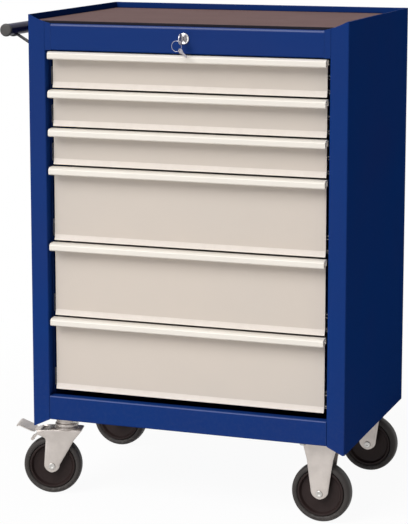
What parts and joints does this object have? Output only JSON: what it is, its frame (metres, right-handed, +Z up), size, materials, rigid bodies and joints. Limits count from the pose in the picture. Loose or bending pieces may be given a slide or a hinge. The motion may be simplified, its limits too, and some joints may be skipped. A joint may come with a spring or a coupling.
{
  "type": "tool cart",
  "caption": "Tool cart: a blue sheet steel roller cabinet with sliding drawers, full width pulls, a matted top tray, a side push handle and casters.",
  "frame": {"origin": "on the floor under the middle of the whole object's box, which takes in the push handle, the key and the wheels", "axes": "+Z up; the drawers open towards -Y; the push handle is on the -X side"},
  "size_m": [0.7676, 0.506, 1.022],
  "materials": {
    "cabinet_paint": "satin blue powder coat",
    "handle_paint": "gloss dark blue",
    "drawer_paint": "satin cream",
    "pull_aluminium": "anodised",
    "plated_steel": "zinc plated",
    "lock_chrome": "polished",
    "key_steel": "nickel plated",
    "bracket_paint": "satin black",
    "cap_plastic": "matt dark grey",
    "mat_rubber": "matt brown grey",
    "wheel_rubber": "matt near black"
  },
  "bodies": {
    "cabinet": {"left_side_panel": "cabinet_paint", "right_side_panel": "cabinet_paint", "back_panel": "cabinet_paint", "bottom_panel": "cabinet_paint", "front_bottom_rail": "cabinet_paint", "top_panel": "cabinet_paint", "top_mat": "mat_rubber", "left_slide_frame": "plated_steel", "right_slide_frame": "plated_steel", "handle_tube": "handle_paint", "handle_cap_front": "cap_plastic", "handle_cap_rear": "cap_plastic", "handle_bracket_front": "bracket_paint", "handle_bracket_rear": "bracket_paint", "lock_barrel": "lock_chrome", "front_left_caster_plate": "plated_steel", "rear_left_caster_plate": "plated_steel", "front_right_caster_bracket": "plated_steel", "rear_right_caster_bracket": "plated_steel", "front_right_caster_axle": "plated_steel", "rear_right_caster_axle": "plated_steel"},
    "lock": {"lock_plug": "lock_chrome", "key": "key_steel"},
    "key_ring": {"key_ring": "key_steel"},
    "drawer_1": {"drawer_1_tray": "drawer_paint", "drawer_1_pull": "pull_aluminium"},
    "drawer_1_slide_left": {"drawer_1_slide_left": "plated_steel"},
    "drawer_1_slide_right": {"drawer_1_slide_right": "plated_steel"},
    "drawer_2": {"drawer_2_tray": "drawer_paint", "drawer_2_pull": "pull_aluminium"},
    "drawer_2_slide_left": {"drawer_2_slide_left": "plated_steel"},
    "drawer_2_slide_right": {"drawer_2_slide_right": "plated_steel"},
    "drawer_3": {"drawer_3_tray": "drawer_paint", "drawer_3_pull": "pull_aluminium"},
    "drawer_3_slide_left": {"drawer_3_slide_left": "plated_steel"},
    "drawer_3_slide_right": {"drawer_3_slide_right": "plated_steel"},
    "drawer_4": {"drawer_4_tray": "drawer_paint", "drawer_4_pull": "pull_aluminium"},
    "drawer_4_slide_left": {"drawer_4_slide_left": "plated_steel"},
    "drawer_4_slide_right": {"drawer_4_slide_right": "plated_steel"},
    "drawer_5": {"drawer_5_tray": "drawer_paint", "drawer_5_pull": "pull_aluminium"},
    "drawer_5_slide_left": {"drawer_5_slide_left": "plated_steel"},
    "drawer_5_slide_right": {"drawer_5_slide_right": "plated_steel"},
    "drawer_6": {"drawer_6_tray": "drawer_paint", "drawer_6_pull": "pull_aluminium"},
    "drawer_6_slide_left": {"drawer_6_slide_left": "plated_steel"},
    "drawer_6_slide_right": {"drawer_6_slide_right": "plated_steel"},
    "front_right_caster_wheel": {"front_right_caster_wheel": "wheel_rubber"},
    "front_left_caster_fork": {"front_left_caster_fork": "plated_steel", "front_left_caster_axle": "plated_steel"},
    "front_left_caster_wheel": {"front_left_caster_wheel": "wheel_rubber"},
    "front_left_caster_pedal": {"front_left_caster_pedal": "plated_steel"},
    "rear_right_caster_wheel": {"rear_right_caster_wheel": "wheel_rubber"},
    "rear_left_caster_fork": {"rear_left_caster_fork": "plated_steel", "rear_left_caster_axle": "plated_steel"},
    "rear_left_caster_wheel": {"rear_left_caster_wheel": "wheel_rubber"},
    "rear_left_caster_pedal": {"rear_left_caster_pedal": "plated_steel"}
  },
  "joints": [
    {"name": "lock_turn", "type": "hinge", "parent": "cabinet", "child": "lock", "pos_m": [0.0417, -0.223, 0.981], "axis": [0, 1, 0], "range_deg": [0, 90]},
    {"name": "key_ring_swing", "type": "hinge", "parent": "lock", "child": "key_ring", "pos_m": [0.0417, -0.2465, 0.97544], "axis": [1, 0, 0], "range_deg": [-75, 45]},
    {"name": "drawer_1_travel", "type": "slide", "parent": "cabinet", "child": "drawer_1", "axis": [0, -1, 0], "range_m": [0, 0.4]},
    {"name": "drawer_1_slide_left_travel", "type": "slide", "parent": "cabinet", "child": "drawer_1_slide_left", "axis": [0, -1, 0], "range_m": [0, 0.2]},
    {"name": "drawer_1_slide_right_travel", "type": "slide", "parent": "cabinet", "child": "drawer_1_slide_right", "axis": [0, -1, 0], "range_m": [0, 0.2]},
    {"name": "drawer_2_travel", "type": "slide", "parent": "cabinet", "child": "drawer_2", "axis": [0, -1, 0], "range_m": [0, 0.4]},
    {"name": "drawer_2_slide_left_travel", "type": "slide", "parent": "cabinet", "child": "drawer_2_slide_left", "axis": [0, -1, 0], "range_m": [0, 0.2]},
    {"name": "drawer_2_slide_right_travel", "type": "slide", "parent": "cabinet", "child": "drawer_2_slide_right", "axis": [0, -1, 0], "range_m": [0, 0.2]},
    {"name": "drawer_3_travel", "type": "slide", "parent": "cabinet", "child": "drawer_3", "axis": [0, -1, 0], "range_m": [0, 0.4]},
    {"name": "drawer_3_slide_left_travel", "type": "slide", "parent": "cabinet", "child": "drawer_3_slide_left", "axis": [0, -1, 0], "range_m": [0, 0.2]},
    {"name": "drawer_3_slide_right_travel", "type": "slide", "parent": "cabinet", "child": "drawer_3_slide_right", "axis": [0, -1, 0], "range_m": [0, 0.2]},
    {"name": "drawer_4_travel", "type": "slide", "parent": "cabinet", "child": "drawer_4", "axis": [0, -1, 0], "range_m": [0, 0.4]},
    {"name": "drawer_4_slide_left_travel", "type": "slide", "parent": "cabinet", "child": "drawer_4_slide_left", "axis": [0, -1, 0], "range_m": [0, 0.2]},
    {"name": "drawer_4_slide_right_travel", "type": "slide", "parent": "cabinet", "child": "drawer_4_slide_right", "axis": [0, -1, 0], "range_m": [0, 0.2]},
    {"name": "drawer_5_travel", "type": "slide", "parent": "cabinet", "child": "drawer_5", "axis": [0, -1, 0], "range_m": [0, 0.4]},
    {"name": "drawer_5_slide_left_travel", "type": "slide", "parent": "cabinet", "child": "drawer_5_slide_left", "axis": [0, -1, 0], "range_m": [0, 0.2]},
    {"name": "drawer_5_slide_right_travel", "type": "slide", "parent": "cabinet", "child": "drawer_5_slide_right", "axis": [0, -1, 0], "range_m": [0, 0.2]},
    {"name": "drawer_6_travel", "type": "slide", "parent": "cabinet", "child": "drawer_6", "axis": [0, -1, 0], "range_m": [0, 0.4]},
    {"name": "drawer_6_slide_left_travel", "type": "slide", "parent": "cabinet", "child": "drawer_6_slide_left", "axis": [0, -1, 0], "range_m": [0, 0.2]},
    {"name": "drawer_6_slide_right_travel", "type": "slide", "parent": "cabinet", "child": "drawer_6_slide_right", "axis": [0, -1, 0], "range_m": [0, 0.2]},
    {"name": "front_right_caster_roll", "type": "hinge", "parent": "cabinet", "child": "front_right_caster_wheel", "pos_m": [0.3217, -0.171, 0.06211], "axis": [0, 1, 0], "continuous": true},
    {"name": "front_left_caster_swivel", "type": "hinge", "parent": "cabinet", "child": "front_left_caster_fork", "pos_m": [-0.2443, -0.171, 0.13], "axis": [0, 0, 1], "continuous": true},
    {"name": "front_left_caster_roll", "type": "hinge", "parent": "front_left_caster_fork", "child": "front_left_caster_wheel", "pos_m": [-0.27341, -0.17826, 0.06211], "axis": [-0.2419, 0.9703, 0], "continuous": true},
    {"name": "front_left_caster_brake", "type": "hinge", "parent": "front_left_caster_fork", "child": "front_left_caster_pedal", "pos_m": [-0.29767, -0.18431, 0.1375], "axis": [0.2419, -0.9703, 0], "range_deg": [0, 10]},
    {"name": "rear_right_caster_roll", "type": "hinge", "parent": "cabinet", "child": "rear_right_caster_wheel", "pos_m": [0.3217, 0.207, 0.06211], "axis": [0, 1, 0], "continuous": true},
    {"name": "rear_left_caster_swivel", "type": "hinge", "parent": "cabinet", "child": "rear_left_caster_fork", "pos_m": [-0.2443, 0.207, 0.13], "axis": [0, 0, 1], "continuous": true},
    {"name": "rear_left_caster_roll", "type": "hinge", "parent": "rear_left_caster_fork", "child": "rear_left_caster_wheel", "pos_m": [-0.2743, 0.207, 0.06211], "axis": [0, 1, 0], "continuous": true},
    {"name": "rear_left_caster_brake", "type": "hinge", "parent": "rear_left_caster_fork", "child": "rear_left_caster_pedal", "pos_m": [-0.2993, 0.207, 0.1375], "axis": [0, -1, 0], "range_deg": [0, 10]}
  ],
  "couplings": [
    {"joint": "drawer_1_slide_left_travel", "follows": "drawer_1_travel", "ratio": 0.5},
    {"joint": "drawer_1_slide_right_travel", "follows": "drawer_1_travel", "ratio": 0.5},
    {"joint": "drawer_2_slide_left_travel", "follows": "drawer_2_travel", "ratio": 0.5},
    {"joint": "drawer_2_slide_right_travel", "follows": "drawer_2_travel", "ratio": 0.5},
    {"joint": "drawer_3_slide_left_travel", "follows": "drawer_3_travel", "ratio": 0.5},
    {"joint": "drawer_3_slide_right_travel", "follows": "drawer_3_travel", "ratio": 0.5},
    {"joint": "drawer_4_slide_left_travel", "follows": "drawer_4_travel", "ratio": 0.5},
    {"joint": "drawer_4_slide_right_travel", "follows": "drawer_4_travel", "ratio": 0.5},
    {"joint": "drawer_5_slide_left_travel", "follows": "drawer_5_travel", "ratio": 0.5},
    {"joint": "drawer_5_slide_right_travel", "follows": "drawer_5_travel", "ratio": 0.5},
    {"joint": "drawer_6_slide_left_travel", "follows": "drawer_6_travel", "ratio": 0.5},
    {"joint": "drawer_6_slide_right_travel", "follows": "drawer_6_travel", "ratio": 0.5}
  ]
}
